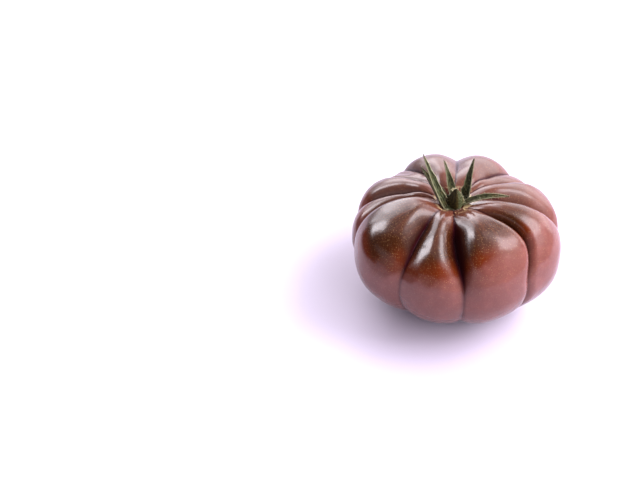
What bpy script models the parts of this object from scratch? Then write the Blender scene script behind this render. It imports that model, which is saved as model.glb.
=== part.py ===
"""A ribbed heirloom tomato, as picked, with its green calyx and its torn stem stub.

Metres, +Z up. The fruit rests on its blossom end at z = 0, centred on x = y = 0.
Azimuths are in degrees from -Y towards +X. Every piece that seats on the fruit takes
its place from the same surface function as the fruit.
"""

import math
from collections import namedtuple

import bmesh
import bpy
from mathutils import Vector

MM = 0.001
COLLECTION = "tomato"

# The fruit: a squat turned form, fuller above the widest ring than below it.
FRUIT_WIDTH = 90.0 * MM
CROWN_HEIGHT = 26.0 * MM  # from the widest ring up to the crown, before the stem basin
BELLY_DEPTH = 31.0 * MM  # from the widest ring down to the blossom end
CROWN_FULLNESS = 2.5  # 2 is an ellipse, more is squarer
BELLY_FULLNESS = 2.05
BASIN_DEPTH = 8.5 * MM  # hollow round the stem
BASIN_RADIUS = 12.5 * MM
BLOSSOM_DEPTH = 4.0 * MM  # small hollow at the blossom end
BLOSSOM_RADIUS = 10.0 * MM
FOOT_FLAT = 0.8 * MM  # how much of the underside is flattened where it rests
LOBE_COLUMNS = 8  # vertex columns in each lobe, so that a column runs along every crease
COLUMN_CROWDING = 0.4  # columns lie closer together near a crease
FRUIT_RINGS = 36
RING_CROWDING = 0.2  # rings lie closer together near the two ends

# Eleven creases and the lobe that follows each one, going round by azimuth.
# azimuth and lean in degrees: the crease leans by that much between widest ring and stem.
# crease is its depth on the shoulder and side its depth lower down, both from the turned
# form. The lobe's crest stands out by swell all the way round, and lies lower by sink on the
# shoulder, as a narrow lobe does. All four are in millimetres.
Rib = namedtuple("Rib", "azimuth lean crease side swell sink")
RIBS = (
    Rib(-30, -7, 8.0, 1.2, 1.0, 2.0),
    Rib(7, -8, 9.0, 1.2, 1.2, 0.8),
    Rib(46, 8, 8.0, 1.4, 1.8, 1.2),
    Rib(93, 5, 8.0, 1.8, 0.3, 1.8),
    Rib(129, 3, 6.5, 1.4, -0.5, 4.2),
    Rib(146, 2, 6.5, 1.4, 1.5, 2.4),
    Rib(183, 0, 7.0, 1.2, 1.5, 2.6),
    Rib(219, 0, 6.5, 1.4, -1.0, 4.4),
    Rib(234, 0, 6.5, 1.4, 1.0, 3.0),
    Rib(261, -4, 7.5, 1.6, 0.5, 4.6),
    Rib(282, -13, 7.5, 1.6, 2.4, 0.8),
)
CREASE_ROUNDING = 9.0 * MM  # how far from a crease the lobe's skin starts to curve into it
CREASE_REACH = 10.0 * MM  # nearer the stem than this the creases no longer crowd
STEM_DRIFT = Vector((-1.8 * MM, -1.0 * MM, 0.0))  # the stem end lies this far off centre
DRIFT_REACH = 18.0 * MM

# The calyx: one receptacle with the stem stub on it, and the sepals round it.
GAP = 0.3 * MM  # clearance between pieces that touch
HUB_RADIUS = 4.8 * MM
HUB_THICKNESS = 1.6 * MM
STUB_RADIUS = 1.8 * MM
STUB_HEIGHT = 6.5 * MM  # above the receptacle
# The stub's outline from its torn top down: shares of its radius and of its height.
STUB_OUTLINE = ((0.0, 1.0), (0.7, 0.96), (1.0, 0.85), (0.95, 0.35), (1.35, 0.0))
HUB_RIM = ((0.85, 0.35), (1.0, 0.6))  # shares of the receptacle's radius and thickness, going down
HUB_SEGMENTS = 24
SEPAL_THICKNESS = 0.6 * MM
SEPAL_ROOT = 0.4 * MM  # how far outside the receptacle a sepal starts
SEPAL_TIP = 0.5 * MM  # width left at the point
SEPAL_STATIONS = 12
SEPAL_STRIPS = 4

# Each sepal is seated on the receptacle's rim at its own azimuth. way is the azimuth that it
# grows towards, and bend how far that turns by its point; the rises are its slopes above
# level at the root and at the point, all in degrees. length and width are in millimetres.
# root is the share of its width that it starts with, and fold is how sharply the two halves
# stand in from the midrib (0 is flat).
Sepal = namedtuple("Sepal", "name seat way bend root_rise tip_rise length width root fold")
SEPALS = (
    Sepal("sepal_front", 8, 190, 0, 98, 62, 10.0, 10.0, 0.6, 0.7),
    Sepal("sepal_left", -60, -138, 0, 48, 56, 23.0, 5.6, 0.7, 0.45),
    Sepal("sepal_left_rear", -98, -132, 0, 40, 44, 17.0, 3.2, 0.7, 0.5),
    Sepal("sepal_rear", -168, -152, 0, 46, 52, 14.8, 4.6, 0.7, 0.5),
    Sepal("sepal_right", 122, 155, 0, 70, 74, 18.5, 5.0, 0.7, 0.55),
    Sepal("sepal_right_low", 84, 92, 4, 34, -8, 18.5, 3.8, 0.6, 0.4),
)

SKIN_COLOUR = (0.225, 0.066, 0.042)
SEPAL_COLOUR = (0.085, 0.095, 0.030)
STEM_COLOUR = (0.110, 0.105, 0.038)


def ease(low, high, x):
    """0 below low, 1 above high, and a smooth rise between."""
    u = min(max((x - low) / (high - low), 0.0), 1.0)
    return u * u * (3.0 - 2.0 * u)


def turned_profile(polar):
    """Radius and height of the turned form at a polar angle, 0 at the stem end."""
    upper = polar < math.pi / 2
    fullness = CROWN_FULLNESS if upper else BELLY_FULLNESS
    rise = CROWN_HEIGHT if upper else BELLY_DEPTH
    radius = FRUIT_WIDTH / 2 * abs(math.sin(polar)) ** (2 / fullness)
    height = math.copysign(rise * abs(math.cos(polar)) ** (2 / fullness), math.cos(polar))
    if upper:
        height -= BASIN_DEPTH * math.exp(-((radius / BASIN_RADIUS) ** 2))
    else:
        height += BLOSSOM_DEPTH * math.exp(-((radius / BLOSSOM_RADIUS) ** 2))
    return radius, BELLY_DEPTH + height


def profile_normal(polar):
    """Outward normal of the turned form, in its radius and height plane."""
    step = 0.002
    r0, z0 = turned_profile(max(polar - step, 0.0))
    r1, z1 = turned_profile(min(polar + step, math.pi))
    along = math.hypot(r1 - r0, z1 - z0)
    return (z0 - z1) / along, (r1 - r0) / along


def wrapped(angle):
    """An angle in radians brought between minus and plus half a turn."""
    return (angle + math.pi) % (2 * math.pi) - math.pi


def crease_azimuth(rib, polar):
    lean = rib.lean * (1.0 - ease(0.0, math.pi / 2, polar))
    return math.radians(rib.azimuth + lean)


def inset(polar, azimuth, creases=True):
    """How far the skin lies inside the turned form: it curves into each crease."""
    reach = max(turned_profile(polar)[0], CREASE_REACH)
    shoulder = ease(0.03, 0.5, polar) * (1.0 - ease(math.radians(50), math.radians(85), polar))
    flank = ease(math.radians(40), math.radians(85), polar)
    flank *= 1.0 - ease(0.72 * math.pi, 0.98 * math.pi, polar)
    swelling = ease(0.15, 1.0, polar) * (1.0 - ease(0.5 * math.pi, 0.85 * math.pi, polar))
    for rib, following in zip(RIBS, RIBS[1:] + RIBS[:1]):
        start = crease_azimuth(rib, polar)
        half = ((crease_azimuth(following, polar) - start) % (2 * math.pi)) / 2
        across = wrapped(azimuth - start - half) / half
        if abs(across) > 1.0 + 1e-9:
            continue
        near = rib if across < 0.0 else following
        sink = rib.sink * shoulder
        swell = rib.swell * swelling * math.cos(across * math.pi / 2) ** 2
        if not creases:
            return (sink - swell) * MM
        rounding = min(CREASE_ROUNDING, half * reach)
        share = 1.0 - (1.0 - abs(across)) * half * reach / rounding
        share = min(max(share, 0.0), 1.0)
        bottom = near.crease * shoulder + near.side * flank
        return (sink - swell + (bottom - sink) * (1.0 - math.sqrt(1.0 - share**2))) * MM
    raise ValueError("every azimuth lies between two creases")


def skin_point(polar, azimuth, creases=True):
    radius, height = turned_profile(polar)
    out, up = profile_normal(polar)
    depth = inset(polar, azimuth, creases)
    radius -= out * depth
    height -= up * depth
    place = Vector((radius * math.sin(azimuth), -radius * math.cos(azimuth), height))
    if polar < math.pi / 2:
        place += STEM_DRIFT * math.exp(-((radius / DRIFT_REACH) ** 2))
    return place


def column_azimuth(column, polar):
    """Azimuth of a vertex column, which leans as the two creases beside it do."""
    index, step = divmod(column, LOBE_COLUMNS)
    share = step / LOBE_COLUMNS
    share -= COLUMN_CROWDING * math.sin(2 * math.pi * share) / (2 * math.pi)
    start = crease_azimuth(RIBS[index % len(RIBS)], polar)
    end = crease_azimuth(RIBS[(index + 1) % len(RIBS)], polar)
    return start + share * ((end - start) % (2 * math.pi))


def skin_height(x, y):
    """Height of the fruit's top over a place, with the creases filled."""
    place = Vector((x, y, 0.0))
    flat = place
    for _ in range(4):
        flat = place - STEM_DRIFT * math.exp(-((flat.length / DRIFT_REACH) ** 2))
    share = min(flat.length / (FRUIT_WIDTH / 2), 1.0)
    polar = math.asin(share ** (CROWN_FULLNESS / 2))
    return skin_point(polar, math.atan2(flat.x, -flat.y), creases=False).z


def material(name, colour, roughness):
    made = bpy.data.materials.new(name)
    made.use_nodes = True
    shader = made.node_tree.nodes["Principled BSDF"]
    shader.inputs["Base Color"].default_value = (*colour, 1.0)
    shader.inputs["Roughness"].default_value = roughness
    shader.inputs["Metallic"].default_value = 0.0
    return made


def new_object(name, mesh, skin):
    """Adds a named object with its own material to the tomato's collection."""
    made = bpy.data.objects.new(name, mesh)
    made.data.materials.append(skin)
    for face in made.data.polygons:
        face.use_smooth = True
    bpy.data.collections[COLLECTION].objects.link(made)
    return made


def make_fruit():
    """A sphere whose vertices are moved onto the lobed skin, with a flat foot."""
    columns = len(RIBS) * LOBE_COLUMNS
    bm = bmesh.new()
    bmesh.ops.create_uvsphere(bm, u_segments=columns, v_segments=FRUIT_RINGS, radius=1.0)
    for vert in bm.verts:
        polar = math.acos(min(max(vert.co.z, -1.0), 1.0))
        polar -= RING_CROWDING * math.sin(2 * polar)
        turn = math.atan2(vert.co.x, -vert.co.y) / (2 * math.pi)
        vert.co = skin_point(polar, column_azimuth(round(turn * columns) % columns, polar))
    foot = min(vert.co.z for vert in bm.verts) + FOOT_FLAT
    for vert in bm.verts:
        vert.co.z = max(vert.co.z, foot)
    mesh = bpy.data.meshes.new("fruit")
    bm.to_mesh(mesh)
    bm.free()
    return new_object("fruit", mesh, material("tomato_skin", SKIN_COLOUR, 0.28))


def hub_floor(share):
    """Lowest height that clears the basin all round, at a share of the hub's radius."""
    around = [math.tau * i / HUB_SEGMENTS for i in range(HUB_SEGMENTS)]
    radius = HUB_RADIUS * share
    places = [STEM_DRIFT + Vector((math.sin(a), math.cos(a), 0.0)) * radius for a in around]
    return max(skin_height(place.x, place.y) for place in places) + GAP


def make_stem_stub():
    """The receptacle in the basin and the torn stub on it: one turned profile."""
    under = [(HUB_RADIUS * share, hub_floor(share)) for share in (1.0, 0.66, 0.33, 0.0)]
    top = hub_floor(1.0) + HUB_THICKNESS
    outline = [(STUB_RADIUS * across, top + STUB_HEIGHT * up) for across, up in STUB_OUTLINE]
    outline += [(HUB_RADIUS * across, top - HUB_THICKNESS * down) for across, down in HUB_RIM]
    outline += under
    mesh = bpy.data.meshes.new("stem_stub")
    edges = [(i, i + 1) for i in range(len(outline) - 1)]
    mesh.from_pydata([(r, 0.0, z) for r, z in outline], edges, [])
    made = new_object("stem_stub", mesh, material("stem_green", STEM_COLOUR, 0.75))
    made.location = STEM_DRIFT
    screw = made.modifiers.new("turn", "SCREW")
    screw.steps = HUB_SEGMENTS
    screw.render_steps = HUB_SEGMENTS
    screw.use_merge_vertices = True
    screw.merge_threshold = 0.01 * MM
    screw.use_smooth_shade = True
    return made


def sepal_line(sepal):
    """Places down the middle of a sepal from root to point, with the ways along and outside."""
    seat = math.radians(sepal.seat)
    rim = HUB_RADIUS + GAP + SEPAL_ROOT
    place = STEM_DRIFT + Vector((rim * math.sin(seat), -rim * math.cos(seat), 0.0))
    place.z = hub_floor(1.0) + HUB_THICKNESS / 2
    step = sepal.length * MM / SEPAL_STATIONS
    line = []
    for station in range(SEPAL_STATIONS + 1):
        share = station / SEPAL_STATIONS
        way = math.radians(sepal.way + sepal.bend * share)
        rise = math.radians(sepal.root_rise + (sepal.tip_rise - sepal.root_rise) * share)
        level = Vector((math.sin(way), -math.cos(way), 0.0))
        along = level * math.cos(rise) + Vector((0.0, 0.0, math.sin(rise)))
        # A sepal that leans in over the stem still has its midrib on the outside.
        outside = -level if abs(wrapped(way - seat)) > math.pi / 2 else level
        line.append((place.copy(), along, outside))
        place += along * step
    return line


def sepal_half_width(sepal, share):
    """Half of the blade's width: narrower at the root, then a long taper."""
    swell = sepal.root + (1.0 - sepal.root) * math.sin(min(share / 0.35, 1.0) * math.pi / 2)
    taper = (1.0 - share) ** 0.75
    return (sepal.width * MM - SEPAL_TIP) / 2 * swell * taper + SEPAL_TIP / 2


def make_sepal(sepal, skin):
    """A folded, tapering blade: a grid laid along the sepal's line, given thickness."""
    bm = bmesh.new()
    bmesh.ops.create_grid(bm, x_segments=SEPAL_STATIONS, y_segments=SEPAL_STRIPS, size=0.5)
    line = sepal_line(sepal)
    for vert in bm.verts:
        share = vert.co.x + 0.5
        across = vert.co.y * 2.0
        place, along, outside = line[round(share * SEPAL_STATIONS)]
        side = Vector((outside.y, -outside.x, 0.0))
        inner = side.cross(along)
        half = sepal_half_width(sepal, share)
        vert.co = place + side * half * across + inner * half * abs(across) * sepal.fold
        clear = skin_height(vert.co.x, vert.co.y) + GAP + SEPAL_THICKNESS
        vert.co.z = max(vert.co.z, clear)
    mesh = bpy.data.meshes.new(sepal.name)
    bm.to_mesh(mesh)
    bm.free()
    made = new_object(sepal.name, mesh, skin)
    solid = made.modifiers.new("thickness", "SOLIDIFY")
    solid.thickness = SEPAL_THICKNESS
    solid.offset = 0.0
    return made


def stand_on_origin(objects):
    """Moves the objects together, so that the base's centre is the origin."""
    places = [made.location + vert.co for made in objects for vert in made.data.vertices]
    middle = [(min(p[i] for p in places) + max(p[i] for p in places)) / 2 for i in (0, 1)]
    shift = Vector((-middle[0], -middle[1], -min(p.z for p in places)))
    for made in objects:
        made.location += shift


def main():
    for old in list(bpy.data.objects):
        bpy.data.objects.remove(old, do_unlink=True)
    collection = bpy.data.collections.new(COLLECTION)
    bpy.context.scene.collection.children.link(collection)
    pieces = [make_fruit(), make_stem_stub()]
    for sepal in SEPALS:
        pieces.append(make_sepal(sepal, material(sepal.name, SEPAL_COLOUR, 0.7)))
    stand_on_origin(pieces)


main()
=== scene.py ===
import math
import random
from collections import namedtuple

import bpy
import numpy as np
from mathutils import Matrix, Vector, noise
from mathutils.bvhtree import BVHTree


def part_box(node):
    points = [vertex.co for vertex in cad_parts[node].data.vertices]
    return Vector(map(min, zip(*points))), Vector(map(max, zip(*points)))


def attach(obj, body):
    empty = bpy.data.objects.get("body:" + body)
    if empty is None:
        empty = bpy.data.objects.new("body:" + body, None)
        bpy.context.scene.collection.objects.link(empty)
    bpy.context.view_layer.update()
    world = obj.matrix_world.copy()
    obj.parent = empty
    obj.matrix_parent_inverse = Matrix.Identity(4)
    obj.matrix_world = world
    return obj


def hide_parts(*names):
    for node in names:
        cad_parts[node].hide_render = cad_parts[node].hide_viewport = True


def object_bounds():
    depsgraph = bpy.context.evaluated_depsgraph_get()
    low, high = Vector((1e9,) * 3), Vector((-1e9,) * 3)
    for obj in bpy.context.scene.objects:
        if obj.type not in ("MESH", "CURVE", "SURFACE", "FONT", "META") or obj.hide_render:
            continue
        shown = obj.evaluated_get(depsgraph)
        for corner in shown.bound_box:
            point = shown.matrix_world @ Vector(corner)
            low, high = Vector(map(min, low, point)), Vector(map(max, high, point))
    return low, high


MM = 0.001

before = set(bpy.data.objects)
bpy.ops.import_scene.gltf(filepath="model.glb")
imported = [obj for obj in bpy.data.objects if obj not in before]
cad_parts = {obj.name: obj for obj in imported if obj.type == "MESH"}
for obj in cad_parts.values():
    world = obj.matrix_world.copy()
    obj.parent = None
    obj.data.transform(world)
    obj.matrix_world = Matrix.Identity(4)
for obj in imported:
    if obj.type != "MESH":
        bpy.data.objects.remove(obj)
cad_low, cad_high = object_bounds()
fruit_low, fruit_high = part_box("fruit")
stub_low, stub_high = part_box("stem_stub")


# ---------------------------------------------------------------- small helpers


def linear(hex_colour):
    """An sRGB hex colour as linear red, green, blue and alpha."""
    parts = [int(hex_colour[i : i + 2], 16) / 255 for i in (1, 3, 5)]
    return (*[c / 12.92 if c <= 0.04045 else ((c + 0.055) / 1.055) ** 2.4 for c in parts], 1.0)


def ease(low, high, x):
    """0 below low, 1 above high, and a smooth rise between; for numbers and arrays."""
    u = np.clip((x - low) / (high - low), 0.0, 1.0)
    return u * u * (3.0 - 2.0 * u)


def deselect():
    for one in bpy.context.selected_objects:
        one.select_set(False)


def only(piece):
    deselect()
    piece.select_set(True)
    bpy.context.view_layer.objects.active = piece


def set_places(piece, places):
    piece.data.vertices.foreach_set("co", np.asarray(places, dtype=np.float32).ravel())
    piece.data.update()


def get_places(piece):
    flat = np.empty(len(piece.data.vertices) * 3, dtype=np.float32)
    piece.data.vertices.foreach_get("co", flat)
    return flat.reshape(-1, 3).astype(np.float64)


def paint(piece, name, values):
    """Stores one number for each vertex, for the piece's material to read."""
    layer = piece.data.attributes.new(name, "FLOAT", "POINT")
    layer.data.foreach_set("value", np.asarray(values, dtype=np.float32))


def paint_vector(piece, name, values):
    layer = piece.data.attributes.new(name, "FLOAT_VECTOR", "POINT")
    layer.data.foreach_set("vector", np.asarray(values, dtype=np.float32).ravel())


PATTERN_SHIFT = (7.3, 3.1, 5.7)  # how far apart two numbered patterns are taken


def ripple(places, size, seed):
    """Smooth noise between about -1 and 1 at each place, with features of that size."""
    shift = Vector([seed * part for part in PATTERN_SHIFT])
    return np.array([noise.noise(Vector(place) / size + shift) for place in places])


def apply_modifiers(piece):
    only(piece)
    for name in [one.name for one in piece.modifiers]:
        bpy.ops.object.modifier_apply(modifier=name)


def finish_piece(piece, name, replaced, material):
    """Names a finished piece, shades it smooth and ties it to the frame."""
    piece.name = name
    piece.data.materials.clear()
    piece.data.materials.append(material)
    only(piece)
    bpy.ops.object.shade_smooth()
    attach(piece, "root")
    if replaced:
        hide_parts(replaced)


# ---------------------------------------------------------------- the fruit's form

FRUIT_WIDTH = 90.0 * MM
CROWN_HEIGHT = 26.0 * MM
BELLY_DEPTH = 31.0 * MM
CROWN_FULLNESS = 2.5  # 2 is an ellipse, and more is squarer
BELLY_FULLNESS = 2.05
BASIN_DEPTH = 8.5 * MM
BASIN_RADIUS = 12.5 * MM
BLOSSOM_DEPTH = 4.0 * MM
BLOSSOM_RADIUS = 10.0 * MM
FOOT_FLAT = 0.8 * MM
CREASE_ARC = 0.87  # how far round towards straight down the skin turns into a crease
SLOPE_POWER = 1.45  # how a flat side falls into its crease: 1 is straight, 2 a parabola
CREASE_REACH = 10.0 * MM  # within this radius, creases narrow with the lobes
STEM_DRIFT = np.array((-1.8 * MM, -1.0 * MM))  # how far the stem sits from the middle
DRIFT_REACH = 18.0 * MM
LOBE_COLUMNS = 30
COLUMN_CROWDING = 0.75  # crowds the mesh's columns towards the creases
FRUIT_RINGS = 170
RING_CROWDING = 0.2  # crowds the mesh's rings towards both ends
NORMAL_STEP = 0.002  # polar angle over which the profile's direction is taken
CORE_FLATNESS = 0.45
STREAK_RADIUS = 10 * MM
STREAK_STRETCH = 0.12  # how slowly the streaks change down a lobe, against round it

# Where creases on the shoulder, creases on the flank, and the lobes' swelling start and end, as
# polar angles from the stem.
SHOULDER_ZONE = ((0.03, 0.5), (math.radians(38), math.radians(98)))
FLANK_ZONE = ((math.radians(40), math.radians(85)), (0.72 * math.pi, 0.98 * math.pi))
SWELLING_ZONE = ((0.15, 1.0), (0.5 * math.pi, 0.85 * math.pi))
BASIN_EDGE = 0.35  # the skin is even at the stem and at its most uneven from this angle on

# Height and size of the skin's unevenness, in millimetres, and the pattern's number.
UNEVENNESS = ((0.45, 17, 1), (0.16, 7, 2), (0.035, 2.6, 3))

# The creases by azimuth, in degrees from -Y towards +X. lean turns a crease's stem end aside, and
# bow its shoulder, in degrees. Then, in millimetres: depth on the shoulder and side on the flank;
# swell and sink, which raise and lower the lobe that follows it; and before and after, which are
# how far from the crease the skin starts to turn in. At flat 0 it rounds in, and at 1 it slopes.
Crease = namedtuple("Crease", "azimuth lean bow depth side swell sink before after flat")
CREASES = (
    Crease(-30, -7, 2, 6.6, 1.6, 1.0, 2.6, 7.0, 9.0, 0.8),
    Crease(7, -8, 0, 10.6, 1.8, 1.2, 0.6, 11.0, 9.5, 0.0),
    Crease(46, 8, 8, 7.0, 1.4, 1.8, 1.4, 5.5, 3.5, 0.0),
    Crease(93, 5, 0, 8.0, 1.8, 0.3, 1.8, 8.0, 8.0, 0.0),
    Crease(129, 3, 0, 6.5, 1.4, -0.5, 4.2, 8.0, 8.0, 0.0),
    Crease(146, 2, 0, 6.0, 1.4, 1.5, 1.6, 7.0, 8.0, 0.0),
    Crease(183, 0, 0, 4.2, 1.0, 1.5, 1.7, 8.0, 8.0, 0.5),
    Crease(219, 0, 0, 6.0, 1.4, -1.0, 4.4, 6.0, 4.5, 0.0),
    Crease(234, 0, 0, 6.0, 1.4, 1.0, 3.0, 4.5, 5.5, 0.0),
    Crease(261, -4, 0, 6.8, 1.6, 0.5, 4.6, 5.0, 5.0, 0.0),
    Crease(282, -13, 0, 7.0, 1.6, 2.4, 0.8, 5.0, 6.0, 0.0),
)


def turned_profile(polar):
    """Radius and height of the turned form at polar angles, 0 at the stem end."""
    upper = polar < math.pi / 2
    power = 2 / np.where(upper, CROWN_FULLNESS, BELLY_FULLNESS)
    rise = np.where(upper, CROWN_HEIGHT, BELLY_DEPTH)
    radius = FRUIT_WIDTH / 2 * np.abs(np.sin(polar)) ** power
    height = np.sign(np.cos(polar)) * rise * np.abs(np.cos(polar)) ** power
    basin = BASIN_DEPTH * np.exp(-((radius / BASIN_RADIUS) ** 2))
    hollow = BLOSSOM_DEPTH * np.exp(-((radius / BLOSSOM_RADIUS) ** 2))
    return radius, BELLY_DEPTH + height + np.where(upper, -basin, hollow)


def profile_normal(polar):
    """The outward direction of the turned form, as its parts away from and along the axis."""
    r0, z0 = turned_profile(np.maximum(polar - NORMAL_STEP, 0.0))
    r1, z1 = turned_profile(np.minimum(polar + NORMAL_STEP, math.pi))
    along = np.hypot(r1 - r0, z1 - z0)
    return (z0 - z1) / along, (r1 - r0) / along


def crease_azimuth(index, polar):
    """A crease's azimuth at polar angles, in radians."""
    crease = CREASES[index]
    lean = crease.lean * (1.0 - ease(0.0, math.pi / 2, polar))
    bow = crease.bow * np.sin(2 * np.minimum(polar, math.pi / 2)) ** 2
    return np.radians(crease.azimuth + lean + bow)


def within(zone, polar):
    """1 inside a zone, with a smooth rise where it starts and a smooth fall where it ends."""
    start, end = zone
    return ease(*start, polar) * (1.0 - ease(*end, polar))


def skin(lobe, across, polar):
    """Places on the skin, how near a crease and how deep in it each one is, and its azimuth.

    lobe is the number of the crease that starts the lobe, across runs from -1 to 1 over it.
    """
    values = {name: np.array([getattr(one, name) for one in CREASES]) for name in Crease._fields}
    radius, height = turned_profile(polar)
    reach = np.maximum(radius, CREASE_REACH)
    shoulder = within(SHOULDER_ZONE, polar)
    flank = within(FLANK_ZONE, polar)
    start = np.choose(lobe, [crease_azimuth(i, polar) for i in range(len(CREASES))])
    following = (lobe + 1) % len(CREASES)
    end = np.choose(following, [crease_azimuth(i, polar) for i in range(len(CREASES))])
    half = ((end - start) % (2 * math.pi)) / 2
    sink = values["sink"][lobe] * shoulder
    rounded = np.cos(across * math.pi / 2) ** 2
    swell = values["swell"][lobe] * within(SWELLING_ZONE, polar) * rounded
    inset = sink - swell
    nearness = np.zeros(len(polar))
    after, before = values["after"][lobe], values["before"][following]
    crowding = (after + before) * MM / (2 * half * reach)
    for crease, turning, away in (
        (lobe, after, 1.0 + across),
        (following, before, 1.0 - across),
    ):
        rounding = turning * MM / np.maximum(crowding, 1.0)
        share = np.clip(1.0 - away * half * reach / rounding, 0.0, 1.0)
        arc = (1.0 - np.sqrt(1.0 - (CREASE_ARC * share) ** 2)) / (
            1.0 - math.sqrt(1.0 - CREASE_ARC**2)
        )
        flat = values["flat"][crease]
        bend = (1.0 - flat) * arc + flat * share**SLOPE_POWER
        bottom = values["depth"][crease] * shoulder + values["side"][crease] * flank
        inset += (bottom - sink) * bend
        nearness = np.maximum(nearness, share)
    depth = inset - sink + swell
    inset = inset * MM
    out, up = profile_normal(polar)
    azimuth = start + (across + 1.0) * half
    radius = radius - out * inset
    height = height - up * inset
    places = np.stack([radius * np.sin(azimuth), -radius * np.cos(azimuth), height], axis=-1)
    drift = np.exp(-((radius / DRIFT_REACH) ** 2)) * (polar < math.pi / 2)
    places[:, :2] += STEM_DRIFT * drift[:, None]
    return places, nearness, depth, azimuth


def outward(places):
    """Directions away from the fruit's core, which lies flat inside it."""
    core = np.array((0.0, 0.0, BELLY_DEPTH))
    away = (places - core) / np.array((1.0, 1.0, CORE_FLATNESS))
    return away / np.linalg.norm(away, axis=1)[:, None]


def make_fruit(material):
    """The whole fruit, from a sphere whose columns run along the lobes."""
    columns = len(CREASES) * LOBE_COLUMNS
    deselect()
    bpy.ops.mesh.primitive_uv_sphere_add(segments=columns, ring_count=FRUIT_RINGS, radius=1.0)
    fruit = bpy.context.object
    round_form = get_places(fruit)
    polar = np.arccos(np.clip(round_form[:, 2], -1.0, 1.0))
    polar -= RING_CROWDING * np.sin(2 * polar)
    turn = np.arctan2(round_form[:, 0], -round_form[:, 1]) / (2 * math.pi)
    column = np.round(turn * columns).astype(int) % columns
    lobe, step = np.divmod(column, LOBE_COLUMNS)
    share = step / LOBE_COLUMNS
    share = share - COLUMN_CROWDING * np.sin(2 * math.pi * share) / (2 * math.pi)
    places, nearness, depth, azimuth = skin(lobe, 2.0 * share - 1.0, polar)
    uneven = sum(rise * ripple(places, size * MM, seed) for rise, size, seed in UNEVENNESS)
    places += outward(places) * (uneven * MM * ease(0.0, BASIN_EDGE, polar))[:, None]
    foot = places[:, 2].min() + FOOT_FLAT
    places[:, 2] = np.maximum(places[:, 2], foot)
    low, high = places.min(axis=0), places.max(axis=0)
    places[:, 0] += (fruit_low.x + fruit_high.x - low[0] - high[0]) / 2
    places[:, 1] += (fruit_low.y + fruit_high.y - low[1] - high[1]) / 2
    places[:, 2] += fruit_low.z - low[2]
    set_places(fruit, places)
    paint(fruit, "crease", nearness)
    paint(fruit, "depth", depth)
    paint(fruit, "polar", polar / math.pi)
    ring = np.stack([np.sin(azimuth), -np.cos(azimuth), polar * STREAK_STRETCH], axis=-1)
    paint_vector(fruit, "streak", ring * STREAK_RADIUS)
    finish_piece(fruit, "tomato_fruit", "fruit", material)
    return fruit


# ---------------------------------------------------------------- the calyx

HUB_RADIUS = 4.8 * MM
HUB_THICKNESS = 1.6 * MM
STUB_HEIGHT = 6.5 * MM
GAP = 0.3 * MM  # between the receptacle and a sepal's root
SEPAL_ROOT = 0.4 * MM
SEPAL_TIP = 0.5 * MM
BLADE_THICKNESS = 0.38 * MM
BLADE_STATIONS = 56
BLADE_STRIPS = 16
WIDEST = 0.35  # the share of its length at which a blade is widest
SKIN_CLEARANCE = 0.5 * MM
CURL_NARROWING = 0.25  # how far a rolled margin draws in, as a share of its roll

# A blade's relief: ragged is a share of its half width, veins and midrib are in millimetres, and
# the midrib's width is a share of the blade's half width.
RAGGED = 0.22
RAGGED_LENGTHS = 9.0  # how many ragged lengths a margin has
WAVE_LENGTHS = 5.0
WAVE_WIDTHS = 0.7
VEINS = 5.0
VEIN_HEIGHT = 0.05
MIDRIB_DEPTH = 0.12
MIDRIB_WIDTH = 0.1
FIBRE_LENGTH = 6 * MM
FIBRE_WIDTH = 2 * MM
PAINTED_LIT_FROM = -0.25  # past this share of its half width, the front sepal is left green as its painted lit side

# The underside of the receptacle, in its middle.
hub = Vector(
    (
        (stub_low.x + stub_high.x) / 2,
        (stub_low.y + stub_high.y) / 2,
        stub_high.z - STUB_HEIGHT - HUB_THICKNESS,
    )
)

# seat is where on the receptacle a blade starts and way is where it heads, which changes by bend
# to its point. It climbs by root_rise and then by tip_rise. All five are in degrees. length, width,
# wave (how far the margins ripple) and tuck (how far the root runs on below its seat, in under the
# others) are in millimetres. root is the root's width as a share of the whole. fold lifts the
# margins, twist turns the point about the blade's length, in degrees, curl rolls the margins in,
# taper is how bluntly it runs to its point, and the last goes from green at 0 to brown at 1: partly
# how dry the blade is and partly painted shade.
Sepal = namedtuple(
    "Sepal",
    "name seat way bend root_rise tip_rise length width root fold twist curl wave tuck taper dry",
)
SEPALS = (
    Sepal("sepal_front", 8, 190, 0, 98, 62, 10.0, 10.8, 0.75, 0.9, 0, 0.1, 0.15, 3.0, 0.6, 1.0),
    Sepal("sepal_left", -42, -134, 0, 48, 56, 24.6, 5.0, 0.7, 0.45, -25, 0.25, 0.25, 4.0, 0.8, 0.0),
    Sepal("sepal_left_rear", -76, -130, 0, 42, 43, 17.6, 8.0, 0.7, 0.5, 20, 0.4, 0.25, 3.5, 0.8, 0.8),
    Sepal("sepal_rear", -168, -152, 0, 46, 52, 14.8, 5.0, 0.7, 0.5, 25, 0.25, 0.25, 1.5, 0.8, 0.4),
    Sepal("sepal_right", 122, 155, 0, 70, 74, 18.5, 5.6, 0.7, 0.55, -15, 0.25, 0.2, 2.0, 0.8, 0.4),
    Sepal("sepal_right_low", 84, 92, 4, 34, -8, 18.5, 4.4, 0.6, 0.4, 50, 0.3, 0.25, 1.5, 0.75, 0.4),
)


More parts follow.
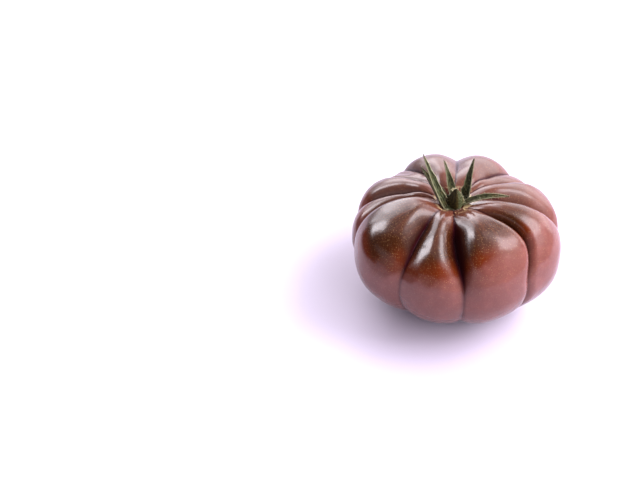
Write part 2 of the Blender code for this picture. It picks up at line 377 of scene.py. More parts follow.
def sepal_line(sepal):
    """Places and directions down the middle of a blade, from under the receptacle to its point."""
    seat = math.radians(sepal.seat)
    rim = HUB_RADIUS + GAP + SEPAL_ROOT
    place = hub + Vector((rim * math.sin(seat), -rim * math.cos(seat), HUB_THICKNESS / 2))
    step = (sepal.length + sepal.tuck) * MM / BLADE_STATIONS
    line = []
    for station in range(BLADE_STATIONS + 1):
        share = max(station * step / MM - sepal.tuck, 0.0) / sepal.length
        way = math.radians(sepal.way + sepal.bend * share)
        rise = math.radians(sepal.root_rise + (sepal.tip_rise - sepal.root_rise) * share)
        level = Vector((math.sin(way), -math.cos(way), 0.0))
        if sepal.name == "sepal_front":
            # It leans back past upright, and this keeps its hollow side towards the stub.
            level, rise = -level, math.pi - rise
        along = level * math.cos(rise) + Vector((0.0, 0.0, math.sin(rise)))
        if station == 0:
            place -= along * sepal.tuck * MM
        line.append((place.copy(), along, level))
        place += along * step
    return line


def sepal_half_width(sepal, share):
    """Half of a blade's width, at a share of its length from its root."""
    swell = sepal.root + (1.0 - sepal.root) * math.sin(min(share / WIDEST, 1.0) * math.pi / 2)
    taper = (1.0 - share) ** sepal.taper
    return (sepal.width * MM - SEPAL_TIP) / 2 * swell * taper + SEPAL_TIP / 2 * (1.0 - share**4)


def make_sepal(number, sepal, under, material):
    """A folded blade: a grid laid along the sepal's line, veined, waved and thickened.

    under is the fruit's surface, which the blade stays clear of.
    """
    deselect()
    bpy.ops.mesh.primitive_grid_add(
        x_subdivisions=BLADE_STATIONS, y_subdivisions=BLADE_STRIPS, size=1.0
    )
    blade = bpy.context.object
    flat = get_places(blade)
    line = sepal_line(sepal)
    along_share, across_share, places = [], [], []
    for x, y, _ in flat:
        share, across = x + 0.5, y * 2.0
        place, along, level = line[round(share * BLADE_STATIONS)]
        side = Vector((level.y, -level.x, 0.0))
        inner = side.cross(along)
        turn = Matrix.Rotation(math.radians(sepal.twist) * share**1.5, 3, along)
        side, inner = turn @ side, turn @ inner
        half = sepal_half_width(sepal, share)
        # The last values here only keep the blades and their two margins from being alike.
        spot = Vector((share * RAGGED_LENGTHS, math.copysign(3.0, across), number * 4.0))
        half *= 1.0 + RAGGED * noise.noise(spot) * abs(across)
        lift = half * abs(across) * sepal.fold
        lift += half * sepal.curl * abs(across) ** 4
        spot = Vector((share * WAVE_LENGTHS, across * WAVE_WIDTHS + 8.0, number * 3.0))
        wave = sepal.wave * noise.noise(spot)
        relief = VEIN_HEIGHT * math.cos(across * math.pi * VEINS)
        relief -= MIDRIB_DEPTH * math.exp(-((across / MIDRIB_WIDTH) ** 2))
        lift += (wave * abs(across) + relief * (1.0 - share)) * MM
        drawn_in = 1.0 - CURL_NARROWING * sepal.curl * across**4
        point = place + side * half * across * drawn_in + inner * lift
        hit = under.ray_cast(Vector((point.x, point.y, cad_high.z)), Vector((0.0, 0.0, -1.0)))
        if hit[0] is not None:
            point.z = max(point.z, hit[0].z + SKIN_CLEARANCE)
        places.append(point)
        along_share.append(share)
        across_share.append(across)
    set_places(blade, places)
    paint(blade, "along", along_share)
    paint(blade, "across", across_share)
    # Painted light and shade: the front blade is painted dark on its shaded side and left green on its
    # lit side.
    painted_lit_side = 1.0 if sepal.name == "sepal_front" else 0.0
    paint(blade, "dry", [sepal.dry - painted_lit_side * (across < PAINTED_LIT_FROM) for across in across_share])
    fibres = [
        (along * FIBRE_LENGTH, across * FIBRE_WIDTH, number * MM)
        for along, across in zip(along_share, across_share)
    ]
    paint_vector(blade, "grain", fibres)
    solid = blade.modifiers.new("thickness", "SOLIDIFY")
    solid.thickness = BLADE_THICKNESS
    solid.offset = 0.0
    smooth = blade.modifiers.new("smooth", "SUBSURF")
    smooth.levels = 1
    smooth.render_levels = 1
    apply_modifiers(blade)
    finish_piece(blade, sepal.name + "_blade", sepal.name, material)
    return blade


# Ring by ring up the receptacle and the stub: height above the receptacle's underside, radius
# and how far the ring leans aside, in millimetres.
STUB_RINGS = (
    (0.0, 3.6, 0.0),
    (0.5, 4.9, 0.0),
    (1.1, 4.7, 0.0),
    (1.6, 3.4, 0.0),
    (2.2, 2.3, 0.1),
    (3.2, 1.8, 0.2),
    (5.0, 1.5, 0.5),
    (6.6, 1.45, 0.8),
    (7.8, 1.25, 1.0),
)
STUB_SIDES = 40
STUB_LEAN = Vector((-0.35, 0.6, 0.0))
TOP_INSETS = (0.72, 0.6, 0.4)  # rings across the top, each as a share of the one before

# The stub's relief, in millimetres: its coarse and fine ribs and the receptacle's arms, each with
# how many there are round it, and where they start or stop up its height.
COARSE_RIBS = (0.09, 9.0)
FINE_RIBS = (0.05, 17.0)
RIBS_START = (0.8, 2.5)
ARMS = (0.6, 6.0)
ARMS_TURN = 0.6
ARMS_STOP = (1.0, 2.2)
RELIEF_START = (0.3, 1.2)  # there is no relief nearer the middle
LEAST_SPAN = 0.001 * MM  # stands in for no distance at all from the middle

# The torn top, in millimetres: where it starts, the height and size of its slivers with each
# pattern's number, how much the tear takes off, and where the torn colour starts.
TEAR_START = (7.2, 7.5)
SLIVERS = ((1.3, 0.9, 11), (0.9, 2.2, 12))
TEAR_LOSS = 0.9
TORN_COLOUR_START = (5.6, 7.6)


def make_stub(material):
    """The receptacle and the stub torn off above it, extruded ring by ring."""
    deselect()
    _, radius, _ = STUB_RINGS[0]
    bpy.ops.mesh.primitive_circle_add(
        vertices=STUB_SIDES, radius=radius * MM, fill_type="NGON", location=hub
    )
    stub = bpy.context.object
    bpy.ops.object.transform_apply(location=True)
    bpy.ops.object.mode_set(mode="EDIT")
    bpy.ops.mesh.select_all(action="SELECT")
    for (low, inner, before), (high, outer, after) in zip(STUB_RINGS, STUB_RINGS[1:]):
        move = Vector((0.0, 0.0, (high - low) * MM)) + STUB_LEAN * (after - before) * MM
        bpy.ops.mesh.extrude_region_move(TRANSFORM_OT_translate={"value": move})
        scale = outer / inner
        bpy.ops.transform.resize(value=(scale, scale, 1.0))
    for size in TOP_INSETS:
        bpy.ops.mesh.inset(thickness=0.0)
        bpy.ops.transform.resize(value=(size, size, 1.0))
    bpy.ops.object.mode_set(mode="OBJECT")
    places = get_places(stub)
    rise = (places[:, 2] - hub.z) / MM
    away = places - np.array(hub)
    angle = np.arctan2(away[:, 1], away[:, 0])
    span = np.hypot(away[:, 0], away[:, 1]) / MM
    ribbed = COARSE_RIBS[0] * np.cos(angle * COARSE_RIBS[1])
    ribbed += FINE_RIBS[0] * np.cos(angle * FINE_RIBS[1] + rise)
    ribbed *= ease(*RIBS_START, rise)
    arms = ARMS[0] * np.cos(angle * ARMS[1] + ARMS_TURN) * (1.0 - ease(*ARMS_STOP, rise))
    direction = away / np.maximum(np.linalg.norm(away[:, :2], axis=1), LEAST_SPAN)[:, None]
    direction[:, 2] = 0.0
    places += direction * ((ribbed + arms) * MM * ease(*RELIEF_START, span))[:, None]
    ragged = sum(tall * ripple(places, size * MM, seed) for tall, size, seed in SLIVERS)
    places[:, 2] += ease(*TEAR_START, rise) * (ragged - TEAR_LOSS) * MM
    set_places(stub, places)
    paint(stub, "torn", ease(*TORN_COLOUR_START, rise))
    smooth = stub.modifiers.new("smooth", "SUBSURF")
    smooth.levels = 2
    smooth.render_levels = 2
    apply_modifiers(stub)
    finish_piece(stub, "stem_stub_torn", "stem_stub", material)
    return stub


HAIR_LENGTH = 0.9 * MM
HAIR_RADIUS = 0.03 * MM
HAIRS_A_PIECE = 150
HAIR_SIZES = (0.5, 1.15)
HAIR_SPLAY = 0.5
INNER_HAIRS = 0.12  # how thick they grow away from the margins, where 1 is at the margins
MARGIN_SHARPNESS = 6
HAIR_SEED = 5


def make_hairs(blades, stub, material):
    """The short pale hairs on the calyx, thickest along its margins."""
    draw = random.Random(HAIR_SEED)
    deselect()
    bpy.ops.mesh.primitive_cone_add(vertices=3, radius1=HAIR_RADIUS, radius2=0.0, depth=HAIR_LENGTH)
    hairs = bpy.context.object
    one = get_places(hairs) + np.array((0.0, 0.0, HAIR_LENGTH / 2))
    faces = [list(face.vertices) for face in hairs.data.polygons]
    points, sides = [], []
    for piece in blades + [stub]:
        mesh = piece.data
        places = get_places(piece)
        edge = np.zeros(len(places))
        if "across" in mesh.attributes:
            mesh.attributes["across"].data.foreach_get("value", edge)
        weights = INNER_HAIRS + np.abs(edge) ** MARGIN_SHARPNESS
        spots = range(len(places))
        if piece is stub:
            # Extruding leaves its points in another order each run, so they are sorted by place.
            spots = np.lexsort(np.round(places / MM, 3).T).tolist()
        for spot in draw.choices(spots, weights, k=HAIRS_A_PIECE):
            out = Vector(mesh.vertices[spot].normal)
            out += HAIR_SPLAY * Vector([draw.uniform(-1.0, 1.0) for _ in range(3)])
            turn = out.normalized().to_track_quat("Z", "Y").to_matrix()
            size = draw.uniform(*HAIR_SIZES)
            start = len(points) * len(one)
            points.append(places[spot] + (one * size) @ np.array(turn).T)
            sides += [[start + corner for corner in face] for face in faces]
    made = bpy.data.meshes.new("hairs")
    made.from_pydata(np.concatenate(points).tolist(), [], sides)
    hairs.data = made
    finish_piece(hairs, "calyx_hairs", None, material)
    return hairs


# ---------------------------------------------------------------- materials


def new_material(name):
    """A material with no nodes yet."""
    made = bpy.data.materials.new(name)
    made.use_nodes = True
    made.node_tree.nodes.clear()
    return made


def node(tree, kind, settings=None, **links):
    """Adds a node: settings are its own properties, links go to its inputs by name.

    An input is a socket of another node, which is linked, or a value, which is set. An input
    that shares its name with another is given by number, as in i0.
    """
    made = tree.nodes.new(kind)
    for name, value in (settings or {}).items():
        setattr(made, name, value)
    for name, value in links.items():
        key = int(name[1:]) if name[1:].isdigit() else name.replace("_", " ")
        if isinstance(value, bpy.types.NodeSocket):
            tree.links.new(value, made.inputs[key])
        else:
            made.inputs[key].default_value = value
    return made


def per(size):
    """A pattern's scale, for features of that size in millimetres."""
    return 1.0 / (size * MM)


COLOUR = {"data_type": "RGBA"}
SMOOTH = {"interpolation_type": "SMOOTHSTEP"}


def skin_material():
    """Skin of a dark heirloom tomato: a smooth waxy cuticle, which gives sharp soft-edged
    reflections, over red flesh that turns olive brown towards the stem and is flecked with gold.
    """
    made = new_material("tomato_skin")
    tree = made.node_tree
    place = node(tree, "ShaderNodeTexCoord").outputs["Object"]
    crease = node(tree, "ShaderNodeAttribute", {"attribute_name": "crease"}).outputs["Fac"]
    depth = node(tree, "ShaderNodeAttribute", {"attribute_name": "depth"}).outputs["Fac"]
    polar = node(tree, "ShaderNodeAttribute", {"attribute_name": "polar"}).outputs["Fac"]
    streak = node(tree, "ShaderNodeAttribute", {"attribute_name": "streak"}).outputs["Vector"]
    apart = node(tree, "ShaderNodeSeparateXYZ", Vector=place).outputs

    # Ripeness: olive at the shoulders, then a narrow belt of amber, and red below, in soft uneven
    # clouds. The fruit is riper on its right side and at its left edge.
    cloud = node(tree, "ShaderNodeTexNoise", Vector=place, Scale=per(16.0), Detail=3.0)
    clouded = node(
        tree, "ShaderNodeMapRange", Value=cloud.outputs[0], To_Min=-0.09, To_Max=0.09
    ).outputs[0]
    sided = node(
        tree,
        "ShaderNodeMapRange",
        Value=apart["X"],
        From_Min=-45 * MM,
        From_Max=45 * MM,
        To_Min=-0.08,
        To_Max=0.2,
    ).outputs[0]
    ripe = node(tree, "ShaderNodeMath", {"operation": "ADD"}, i0=polar, i1=clouded).outputs[0]
    ripe = node(tree, "ShaderNodeMath", {"operation": "ADD"}, i0=ripe, i1=sided).outputs[0]
    edge = node(
        tree,
        "ShaderNodeMapRange",
        SMOOTH,
        Value=apart["X"],
        From_Min=-33 * MM,
        From_Max=-42 * MM,
        To_Max=0.14,
    ).outputs[0]
    ripe = node(tree, "ShaderNodeMath", {"operation": "ADD"}, i0=ripe, i1=edge).outputs[0]
    amber = node(
        tree, "ShaderNodeMapRange", SMOOTH, Value=ripe, From_Min=0.29, From_Max=0.4
    ).outputs[0]
    colour = node(
        tree, "ShaderNodeMix", COLOUR, i0=amber, i6=linear("#341604"), i7=linear("#561d03")
    ).outputs[2]
    ripe = node(
        tree, "ShaderNodeMapRange", SMOOTH, Value=ripe, From_Min=0.4, From_Max=0.46
    ).outputs[0]
    colour = node(tree, "ShaderNodeMix", COLOUR, i0=ripe, i6=colour, i7=linear("#663831")).outputs[2]

    # The ripe flesh shows through in faint blotches of about 5 mm.
    mottle = node(tree, "ShaderNodeTexNoise", Vector=place, Scale=per(5.0), Detail=4.0)
    mottled = node(
        tree,
        "ShaderNodeMapRange",
        SMOOTH,
        Value=mottle.outputs[0],
        From_Min=0.42,
        From_Max=0.7,
        To_Max=0.5,
    ).outputs[0]
    mottled = node(tree, "ShaderNodeMath", {"operation": "MULTIPLY"}, i0=mottled, i1=ripe).outputs[0]
    colour = node(tree, "ShaderNodeMix", COLOUR, i0=mottled, i6=colour, i7=linear("#76423a")).outputs[2]

    # The shoulders at the back are a paler, redder brown: partly the skin's own colour and partly
    # painted sheen, which stands in for the reflection of the coat, dimmed there.
    behind = node(
        tree, "ShaderNodeMapRange", SMOOTH, Value=apart["Y"], From_Min=-14 * MM, From_Max=8 * MM
    ).outputs[0]
    high = node(
        tree, "ShaderNodeMapRange", SMOOTH, Value=polar, From_Min=0.44, From_Max=0.3, To_Max=0.6
    ).outputs[0]
    paler_back_and_sheen = node(tree, "ShaderNodeMath", {"operation": "MULTIPLY"}, i0=behind, i1=high).outputs[0]
    colour = node(tree, "ShaderNodeMix", COLOUR, i0=paler_back_and_sheen, i6=colour, i7=linear("#66463f")).outputs[2]

    # Fine streaks that run from the stem down the lobes.
    streaked = node(tree, "ShaderNodeTexNoise", Vector=streak, Scale=per(0.55), Detail=4.0)
    streak_mask = node(
        tree,
        "ShaderNodeMapRange",
        SMOOTH,
        Value=streaked.outputs[0],
        From_Min=0.42,
        From_Max=0.72,
        To_Max=0.4,
    ).outputs[0]
    near_stem = node(
        tree, "ShaderNodeMapRange", SMOOTH, Value=polar, From_Min=0.42, From_Max=0.08
    ).outputs[0]
    streak_mask = node(
        tree, "ShaderNodeMath", {"operation": "MULTIPLY"}, i0=streak_mask, i1=near_stem
    ).outputs[0]
    colour = node(
        tree, "ShaderNodeMix", COLOUR, i0=streak_mask, i6=colour, i7=linear("#5c2c16")
    ).outputs[2]

    # The basin round the stem is a warmer, lighter brown.
    basin = node(
        tree, "ShaderNodeMapRange", SMOOTH, Value=polar, From_Min=0.16, From_Max=0.03, To_Max=0.8
    ).outputs[0]
    colour = node(tree, "ShaderNodeMix", COLOUR, i0=basin, i6=colour, i7=linear("#5c3024")).outputs[2]

    # A fine pale grain of half a millimetre all over, and golden flecks of a third to half a
    # millimetre, thickest on the shoulders. Real ones are finer: these are as coarse as shows.
    grain = node(tree, "ShaderNodeTexNoise", Vector=place, Scale=per(0.5), Detail=2.0)
    grain = node(
        tree,
        "ShaderNodeMapRange",
        SMOOTH,
        Value=grain.outputs[0],
        From_Min=0.5,
        From_Max=0.75,
        To_Max=0.06,
    ).outputs[0]
    colour = node(tree, "ShaderNodeMix", COLOUR, i0=grain, i6=colour, i7=linear("#b58a6c")).outputs[2]
    flecks = node(tree, "ShaderNodeTexVoronoi", Vector=place, Scale=per(0.6))
    fleck = node(
        tree,
        "ShaderNodeMapRange",
        SMOOTH,
        Value=flecks.outputs["Distance"],
        From_Min=0.36,
        From_Max=0.1,
    ).outputs[0]
    chosen = node(
        tree, "ShaderNodeMapRange", Value=flecks.outputs["Color"], From_Min=0.35, From_Max=0.9
    ).outputs[0]
    thick = node(
        tree,
        "ShaderNodeMapRange",
        SMOOTH,
        Value=polar,
        From_Min=0.72,
        From_Max=0.2,
        To_Min=0.15,
        To_Max=0.5,
    ).outputs[0]
    fleck = node(tree, "ShaderNodeMath", {"operation": "MULTIPLY"}, i0=fleck, i1=chosen).outputs[0]
    fleck = node(tree, "ShaderNodeMath", {"operation": "MULTIPLY"}, i0=fleck, i1=thick).outputs[0]
    colour = node(tree, "ShaderNodeMix", COLOUR, i0=fleck, i6=colour, i7=linear("#b08a5a")).outputs[2]

    # Painted shade: deep creases are painted a near black red, where shade falls in them, less so at
    # the back, where they are shallow and open, and a thin dark line of painted shade runs down the
    # bottom of each. The coat is dimmed in them as well, so that they don't shine.
    painted_crease_shade = node(
        tree, "ShaderNodeMapRange", SMOOTH, Value=depth, From_Min=0.8, From_Max=5.5, To_Max=0.95
    ).outputs[0]
    open_side = node(
        tree, "ShaderNodeMapRange", Value=behind, To_Min=1.0, To_Max=0.3
    ).outputs[0]
    painted_crease_shade = node(tree, "ShaderNodeMath", {"operation": "MULTIPLY"}, i0=painted_crease_shade, i1=open_side).outputs[0]
    colour = node(tree, "ShaderNodeMix", COLOUR, i0=painted_crease_shade, i6=colour, i7=linear("#200303")).outputs[2]
    # Painted shade: the dark line along the bottom of each crease.
    line = node(
        tree, "ShaderNodeMapRange", SMOOTH, Value=crease, From_Min=0.84, From_Max=0.98
    ).outputs[0]
    upper = node(
        tree,
        "ShaderNodeMapRange",
        SMOOTH,
        Value=polar,
        From_Min=0.5,
        From_Max=0.36,
        To_Min=0.35,
        To_Max=0.9,
    ).outputs[0]
    line = node(tree, "ShaderNodeMath", {"operation": "MULTIPLY"}, i0=line, i1=upper).outputs[0]
    colour = node(tree, "ShaderNodeMix", COLOUR, i0=line, i6=colour, i7=linear("#2a0810")).outputs[2]
    dimmed_coat = node(tree, "ShaderNodeMapRange", Value=painted_crease_shade, To_Min=1.0, To_Max=0.15).outputs[0]
    # The coat is dimmed at the back, where the painted sheen in the colour above stands in for it.
    coat_at_back = node(tree, "ShaderNodeMapRange", Value=behind, To_Min=1.0, To_Max=0.75).outputs[0]
    dimmed_coat = node(tree, "ShaderNodeMath", {"operation": "MULTIPLY"}, i0=dimmed_coat, i1=coat_at_back).outputs[0]

    # Pale cork in patches where the skin meets the stem.
    corky = node(tree, "ShaderNodeTexNoise", Vector=place, Scale=per(2.2), Detail=5.0)
    cork = node(
        tree, "ShaderNodeMapRange", SMOOTH, Value=corky.outputs[0], From_Min=0.52, From_Max=0.6
    ).outputs[0]
    ring = node(
        tree, "ShaderNodeMapRange", SMOOTH, Value=polar, From_Min=0.05, From_Max=0.03
    ).outputs[0]
    cork = node(tree, "ShaderNodeMath", {"operation": "MULTIPLY"}, i0=cork, i1=ring).outputs[0]
    colour = node(tree, "ShaderNodeMix", COLOUR, i0=cork, i6=colour, i7=linear("#cdb184")).outputs[2]

    # The cuticle is very slightly pebbled, at 0.8 mm.
    pebble = node(tree, "ShaderNodeTexNoise", Vector=place, Scale=per(0.8), Detail=3.0)
    bump = node(
        tree, "ShaderNodeBump", Strength=0.3, Distance=0.1 * MM, Height=pebble.outputs[0]
    ).outputs[0]
    shader = node(
        tree,
        "ShaderNodeBsdfPrincipled",
        Base_Color=colour,
        Roughness=0.5,
        Specular_IOR_Level=0.0,
        Coat_Weight=dimmed_coat,
        Coat_Roughness=0.2,
        Coat_IOR=1.5,
        Sheen_Weight=0.02,
        Sheen_Roughness=0.35,
        Sheen_Tint=linear("#f9f3ff"),
        Normal=bump,
        Coat_Normal=bump,
    )
    node(tree, "ShaderNodeOutputMaterial", Surface=shader.outputs[0])
    return made


def sepal_material():
    """Half-dried green calyx leaf: matt and fibrous along its length, so light only brushes it,
    paler at the midrib and the margins, and brown in blotches and at the point. It is darker brown
    where it is dry and where shade is painted on it, as on the front blade's shaded side.
    """
    made = new_material("calyx_leaf")
    tree = made.node_tree
    place = node(tree, "ShaderNodeTexCoord").outputs["Object"]
    along = node(tree, "ShaderNodeAttribute", {"attribute_name": "along"}).outputs["Fac"]
    across = node(tree, "ShaderNodeAttribute", {"attribute_name": "across"}).outputs["Fac"]
    grain = node(tree, "ShaderNodeAttribute", {"attribute_name": "grain"}).outputs["Vector"]
    off_middle = node(tree, "ShaderNodeMath", {"operation": "ABSOLUTE"}, i0=across).outputs[0]
    fibre = node(tree, "ShaderNodeTexNoise", Vector=grain, Scale=per(0.35), Detail=4.0)
    fibres = node(
        tree, "ShaderNodeMapRange", SMOOTH, Value=fibre.outputs[0], From_Min=0.35, From_Max=0.7
    ).outputs[0]
    colour = node(
        tree, "ShaderNodeMix", COLOUR, i0=fibres, i6=linear("#0e1004"), i7=linear("#5a5f40")
    ).outputs[2]
    darker = node(
        tree, "ShaderNodeMix", COLOUR, i0=fibres, i6=linear("#120d02"), i7=linear("#3a3112")
    ).outputs[2]
    blotch = node(tree, "ShaderNodeTexNoise", Vector=place, Scale=per(3.0), Detail=3.0)
    brown = node(
        tree,
        "ShaderNodeMapRange",
        SMOOTH,
        Value=blotch.outputs[0],
        From_Min=0.5,
        From_Max=0.72,
        To_Max=0.6,
    ).outputs[0]
    colour = node(tree, "ShaderNodeMix", COLOUR, i0=brown, i6=colour, i7=linear("#4d3c1c")).outputs[2]
    rib = node(
        tree, "ShaderNodeMapRange", SMOOTH, Value=off_middle, From_Min=0.14, From_Max=0.02, To_Max=0.45
    ).outputs[0]
    colour = node(tree, "ShaderNodeMix", COLOUR, i0=rib, i6=colour, i7=linear("#666a48")).outputs[2]
    margin = node(
        tree, "ShaderNodeMapRange", SMOOTH, Value=off_middle, From_Min=0.88, From_Max=0.98, To_Max=0.65
    ).outputs[0]
    colour = node(tree, "ShaderNodeMix", COLOUR, i0=margin, i6=colour, i7=linear("#a39e7c")).outputs[2]
    tip = node(
        tree, "ShaderNodeMapRange", SMOOTH, Value=along, From_Min=0.82, From_Max=1.0, To_Max=0.7
    ).outputs[0]
    colour = node(tree, "ShaderNodeMix", COLOUR, i0=tip, i6=colour, i7=linear("#3a2f22")).outputs[2]
    # Painted shade: this value darkens the leaf, partly for dryness and partly as painted shade.
    dry = node(tree, "ShaderNodeAttribute", {"attribute_name": "dry"}).outputs["Fac"]
    colour = node(tree, "ShaderNodeMix", COLOUR, i0=dry, i6=colour, i7=darker).outputs[2]
    bump = node(
        tree, "ShaderNodeBump", Strength=0.9, Distance=0.15 * MM, Height=fibre.outputs[0]
    ).outputs[0]
    shader = node(
        tree,
        "ShaderNodeBsdfPrincipled",
        Base_Color=colour,
        Roughness=0.65,
        Specular_IOR_Level=0.2,
        Normal=bump,
    )
    node(tree, "ShaderNodeOutputMaterial", Surface=shader.outputs[0])
    return made


def stem_material():
    """Green stem: matt, with fibres up its length, which show pale where it is torn."""
    made = new_material("torn_green_stem")
    tree = made.node_tree
    place = node(tree, "ShaderNodeTexCoord").outputs["Object"]
    torn = node(tree, "ShaderNodeAttribute", {"attribute_name": "torn"}).outputs["Fac"]
    stretched = node(tree, "ShaderNodeMapping", Vector=place, Scale=(1.0, 1.0, 0.25)).outputs[0]
    fibre = node(tree, "ShaderNodeTexNoise", Vector=stretched, Scale=per(0.5), Detail=4.0)
    colour = node(
        tree, "ShaderNodeMix", COLOUR, i0=fibre.outputs[0], i6=linear("#171a08"), i7=linear("#47482a")
    ).outputs[2]
    pale = node(
        tree, "ShaderNodeMath", {"operation": "MULTIPLY"}, i0=fibre.outputs[0], i1=torn
    ).outputs[0]
    pale = node(
        tree, "ShaderNodeMapRange", SMOOTH, Value=pale, From_Min=0.32, From_Max=0.6
    ).outputs[0]
    colour = node(tree, "ShaderNodeMix", COLOUR, i0=pale, i6=colour, i7=linear("#b5ab85")).outputs[2]
    bump = node(
        tree, "ShaderNodeBump", Strength=0.7, Distance=0.15 * MM, Height=fibre.outputs[0]
    ).outputs[0]
    shader = node(
        tree,
        "ShaderNodeBsdfPrincipled",
        Base_Color=colour,
        Roughness=0.7,
        Specular_IOR_Level=0.2,
        Normal=bump,
    )
    node(tree, "ShaderNodeOutputMaterial", Surface=shader.outputs[0])
    return made


def hair_material():
    """Plant hairs: pale, thin and glossy, so that they catch the light as a fine fuzz."""
    made = new_material("plant_hair")
    tree = made.node_tree
    place = node(tree, "ShaderNodeTexCoord").outputs["Object"]
    mixed = node(tree, "ShaderNodeTexNoise", Vector=place, Scale=per(1.5))
    colour = node(
        tree, "ShaderNodeMix", COLOUR, i0=mixed.outputs[0], i6=linear("#8f8a5c"), i7=linear("#e4dfc4")
    ).outputs[2]
    shader = node(tree, "ShaderNodeBsdfPrincipled", Base_Color=colour, Roughness=0.4)
    node(tree, "ShaderNodeOutputMaterial", Surface=shader.outputs[0])
    return made


# ---------------------------------------------------------------- floor, light and camera

CAMERA_LENS = 85.0
SENSOR_WIDTH = 36.0
CAMERA_ELEVATION = 39.0
CAMERA_DISTANCE = 0.657
AIM_HEIGHT = 0.0263  # the camera and the lights aim at the fruit's axis, this far up
ASIDE = 0.0897  # the fruit sits this share of the distance to the right of the view's middle


def make_camera():
    """Looks down on the fruit from the front, aimed to its left, so that it sits at the right."""
    rise = math.radians(CAMERA_ELEVATION)
    swing = math.atan2(ASIDE, math.cos(rise))
    forward = Vector(
        (-math.sin(swing) * math.cos(rise), math.cos(swing) * math.cos(rise), -math.sin(rise))
    )
    right = Vector((math.cos(swing), math.sin(swing), 0.0))
    data = bpy.data.cameras.new("camera")
    data.lens = CAMERA_LENS
    data.sensor_width = SENSOR_WIDTH
    camera = bpy.data.objects.new("camera", data)
    bpy.context.scene.collection.objects.link(camera)
    place = Matrix((right, right.cross(forward), -forward)).transposed().to_4x4()
    place.translation = Vector((0.0, 0.0, AIM_HEIGHT)) - CAMERA_DISTANCE * (forward + ASIDE * right)
    camera.matrix_world = place
    bpy.context.scene.camera = camera


FLOOR_SIZE = 6.0


def make_floor():
    """A sheet of matt white acrylic, toned down so that the lights leave the shadow on it."""
    deselect()
    bpy.ops.mesh.primitive_plane_add(size=FLOOR_SIZE)
    floor = bpy.context.object
    floor.name = "floor"
    made = new_material("white_acrylic_sheet")
    shader = node(
        made.node_tree,
        "ShaderNodeBsdfPrincipled",
        Base_Color=linear("#c0b8c8"),
        Roughness=0.6,
    )
    node(made.node_tree, "ShaderNodeOutputMaterial", Surface=shader.outputs[0])
    floor.data.materials.append(made)


WORLD_RADIANCE = 0.72
WORLD_TINT = (0.97, 0.9, 1.0)
LIGHT_TINT = (0.96, 0.93, 1.0)
STUDIO_REACH = 1.1  # how far from the fruit the softboxes stand

# Azimuth, elevation, width and height in degrees as the fruit sees it, and radiance. The
# highlights on the skin are their reflections. The boxes at the left only reflect, and the key
# and the front light only light, so that the shadow falls to the left.
Softbox = namedtuple("Softbox", "name azimuth elevation width height radiance")
SOFTBOXES = (
    Softbox("left_softbox", -113, 37, 17, 34, 12.0),
    Softbox("left_halo", -118, 32, 36, 50, 1.5),
    Softbox("right_softbox", 112, 53, 22, 20, 8.0),
    Softbox("right_halo", 112, 54, 46, 40, 1.6),
    Softbox("back_left_softbox", -152, 30, 44, 42, 3.6),
    Softbox("back_right_softbox", 166, 22, 84, 40, 3.0),
    Softbox("key_light", 96, 38, 40, 40, 9.0),
    Softbox("front_light", 55, 34, 60, 50, 3.6),
)
ONLY_REFLECT = ("left_softbox", "left_halo")
ONLY_LIGHT = ("key_light", "front_light")

# The black cards are only seen in reflections, where they keep the front of the skin dark. The
# sizes are in degrees, as above, and the distance is in metres.
Card = namedtuple("Card", "name azimuth elevation width height distance")
CARDS = (
    Card("high_black_card", -22, 55, 116, 44, 1.1),
    Card("left_black_card", -80, 2, 50, 32, 1.1),
    Card("near_black_card", -88, 6, 60, 30, 0.16),
)


def facing(azimuth, elevation, distance):
    """A place on the studio's dome, and the turn that faces it towards the fruit."""
    a, e = math.radians(azimuth), math.radians(elevation)
    out = Vector((math.sin(a) * math.cos(e), -math.cos(a) * math.cos(e), math.sin(e)))
    place = out.to_track_quat("Z", "Y").to_matrix().to_4x4()
    place.translation = Vector((0.0, 0.0, AIM_HEIGHT)) + out * distance
    return place


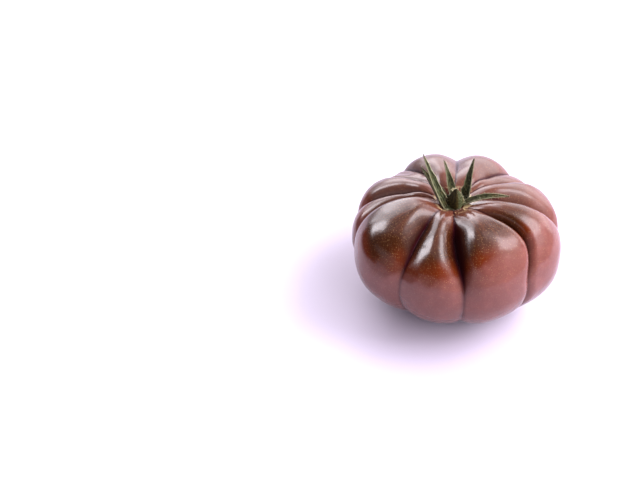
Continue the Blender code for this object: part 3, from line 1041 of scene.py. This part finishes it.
def make_lights():
    """The softboxes, and cards of black velvet, which give back next to no light."""
    for box in SOFTBOXES:
        light = bpy.data.lights.new(box.name, "AREA")
        light.shape = "RECTANGLE"
        light.size = 2 * STUDIO_REACH * math.tan(math.radians(box.width / 2))
        light.size_y = 2 * STUDIO_REACH * math.tan(math.radians(box.height / 2))
        light.energy = box.radiance * math.pi * light.size * light.size_y
        light.color = LIGHT_TINT
        holder = bpy.data.objects.new(box.name, light)
        holder.matrix_world = facing(box.azimuth, box.elevation, STUDIO_REACH)
        holder.visible_camera = False
        holder.visible_glossy = box.name not in ONLY_LIGHT
        holder.visible_diffuse = box.name not in ONLY_REFLECT
        bpy.context.scene.collection.objects.link(holder)
    black = new_material("black_velvet_card")
    shader = node(
        black.node_tree, "ShaderNodeBsdfPrincipled", Base_Color=linear("#0a0a0a"), Roughness=1.0
    )
    node(black.node_tree, "ShaderNodeOutputMaterial", Surface=shader.outputs[0])
    for card in CARDS:
        deselect()
        bpy.ops.mesh.primitive_plane_add(size=1.0)
        sheet = bpy.context.object
        sheet.name = card.name
        wide = 2 * card.distance * math.tan(math.radians(card.width / 2))
        high = 2 * card.distance * math.tan(math.radians(card.height / 2))
        sheet.data.transform(Matrix.Diagonal((wide, high, 1.0, 1.0)))
        sheet.data.transform(facing(card.azimuth, card.elevation, card.distance))
        sheet.data.materials.append(black)
        sheet.visible_camera = False
        sheet.visible_diffuse = False
        sheet.visible_shadow = False


def make_world():
    """The even light of a white room, faintly lilac."""
    world = bpy.data.worlds.new("white_room")
    bpy.context.scene.world = world
    world.use_nodes = True
    world.node_tree.nodes["Background"].inputs["Color"].default_value = (*WORLD_TINT, 1.0)
    world.node_tree.nodes["Background"].inputs["Strength"].default_value = WORLD_RADIANCE


make_camera()
fruit = make_fruit(skin_material())
fruit_surface = BVHTree.FromPolygons(
    [vert.co.copy() for vert in fruit.data.vertices],
    [tuple(face.vertices) for face in fruit.data.polygons],
)
leaf = sepal_material()
blades = [make_sepal(i, sepal, fruit_surface, leaf) for i, sepal in enumerate(SEPALS)]
stub = make_stub(stem_material())
make_hairs(blades, stub, hair_material())
make_floor()
make_lights()
make_world()
bpy.context.scene.view_settings.view_transform = "Standard"
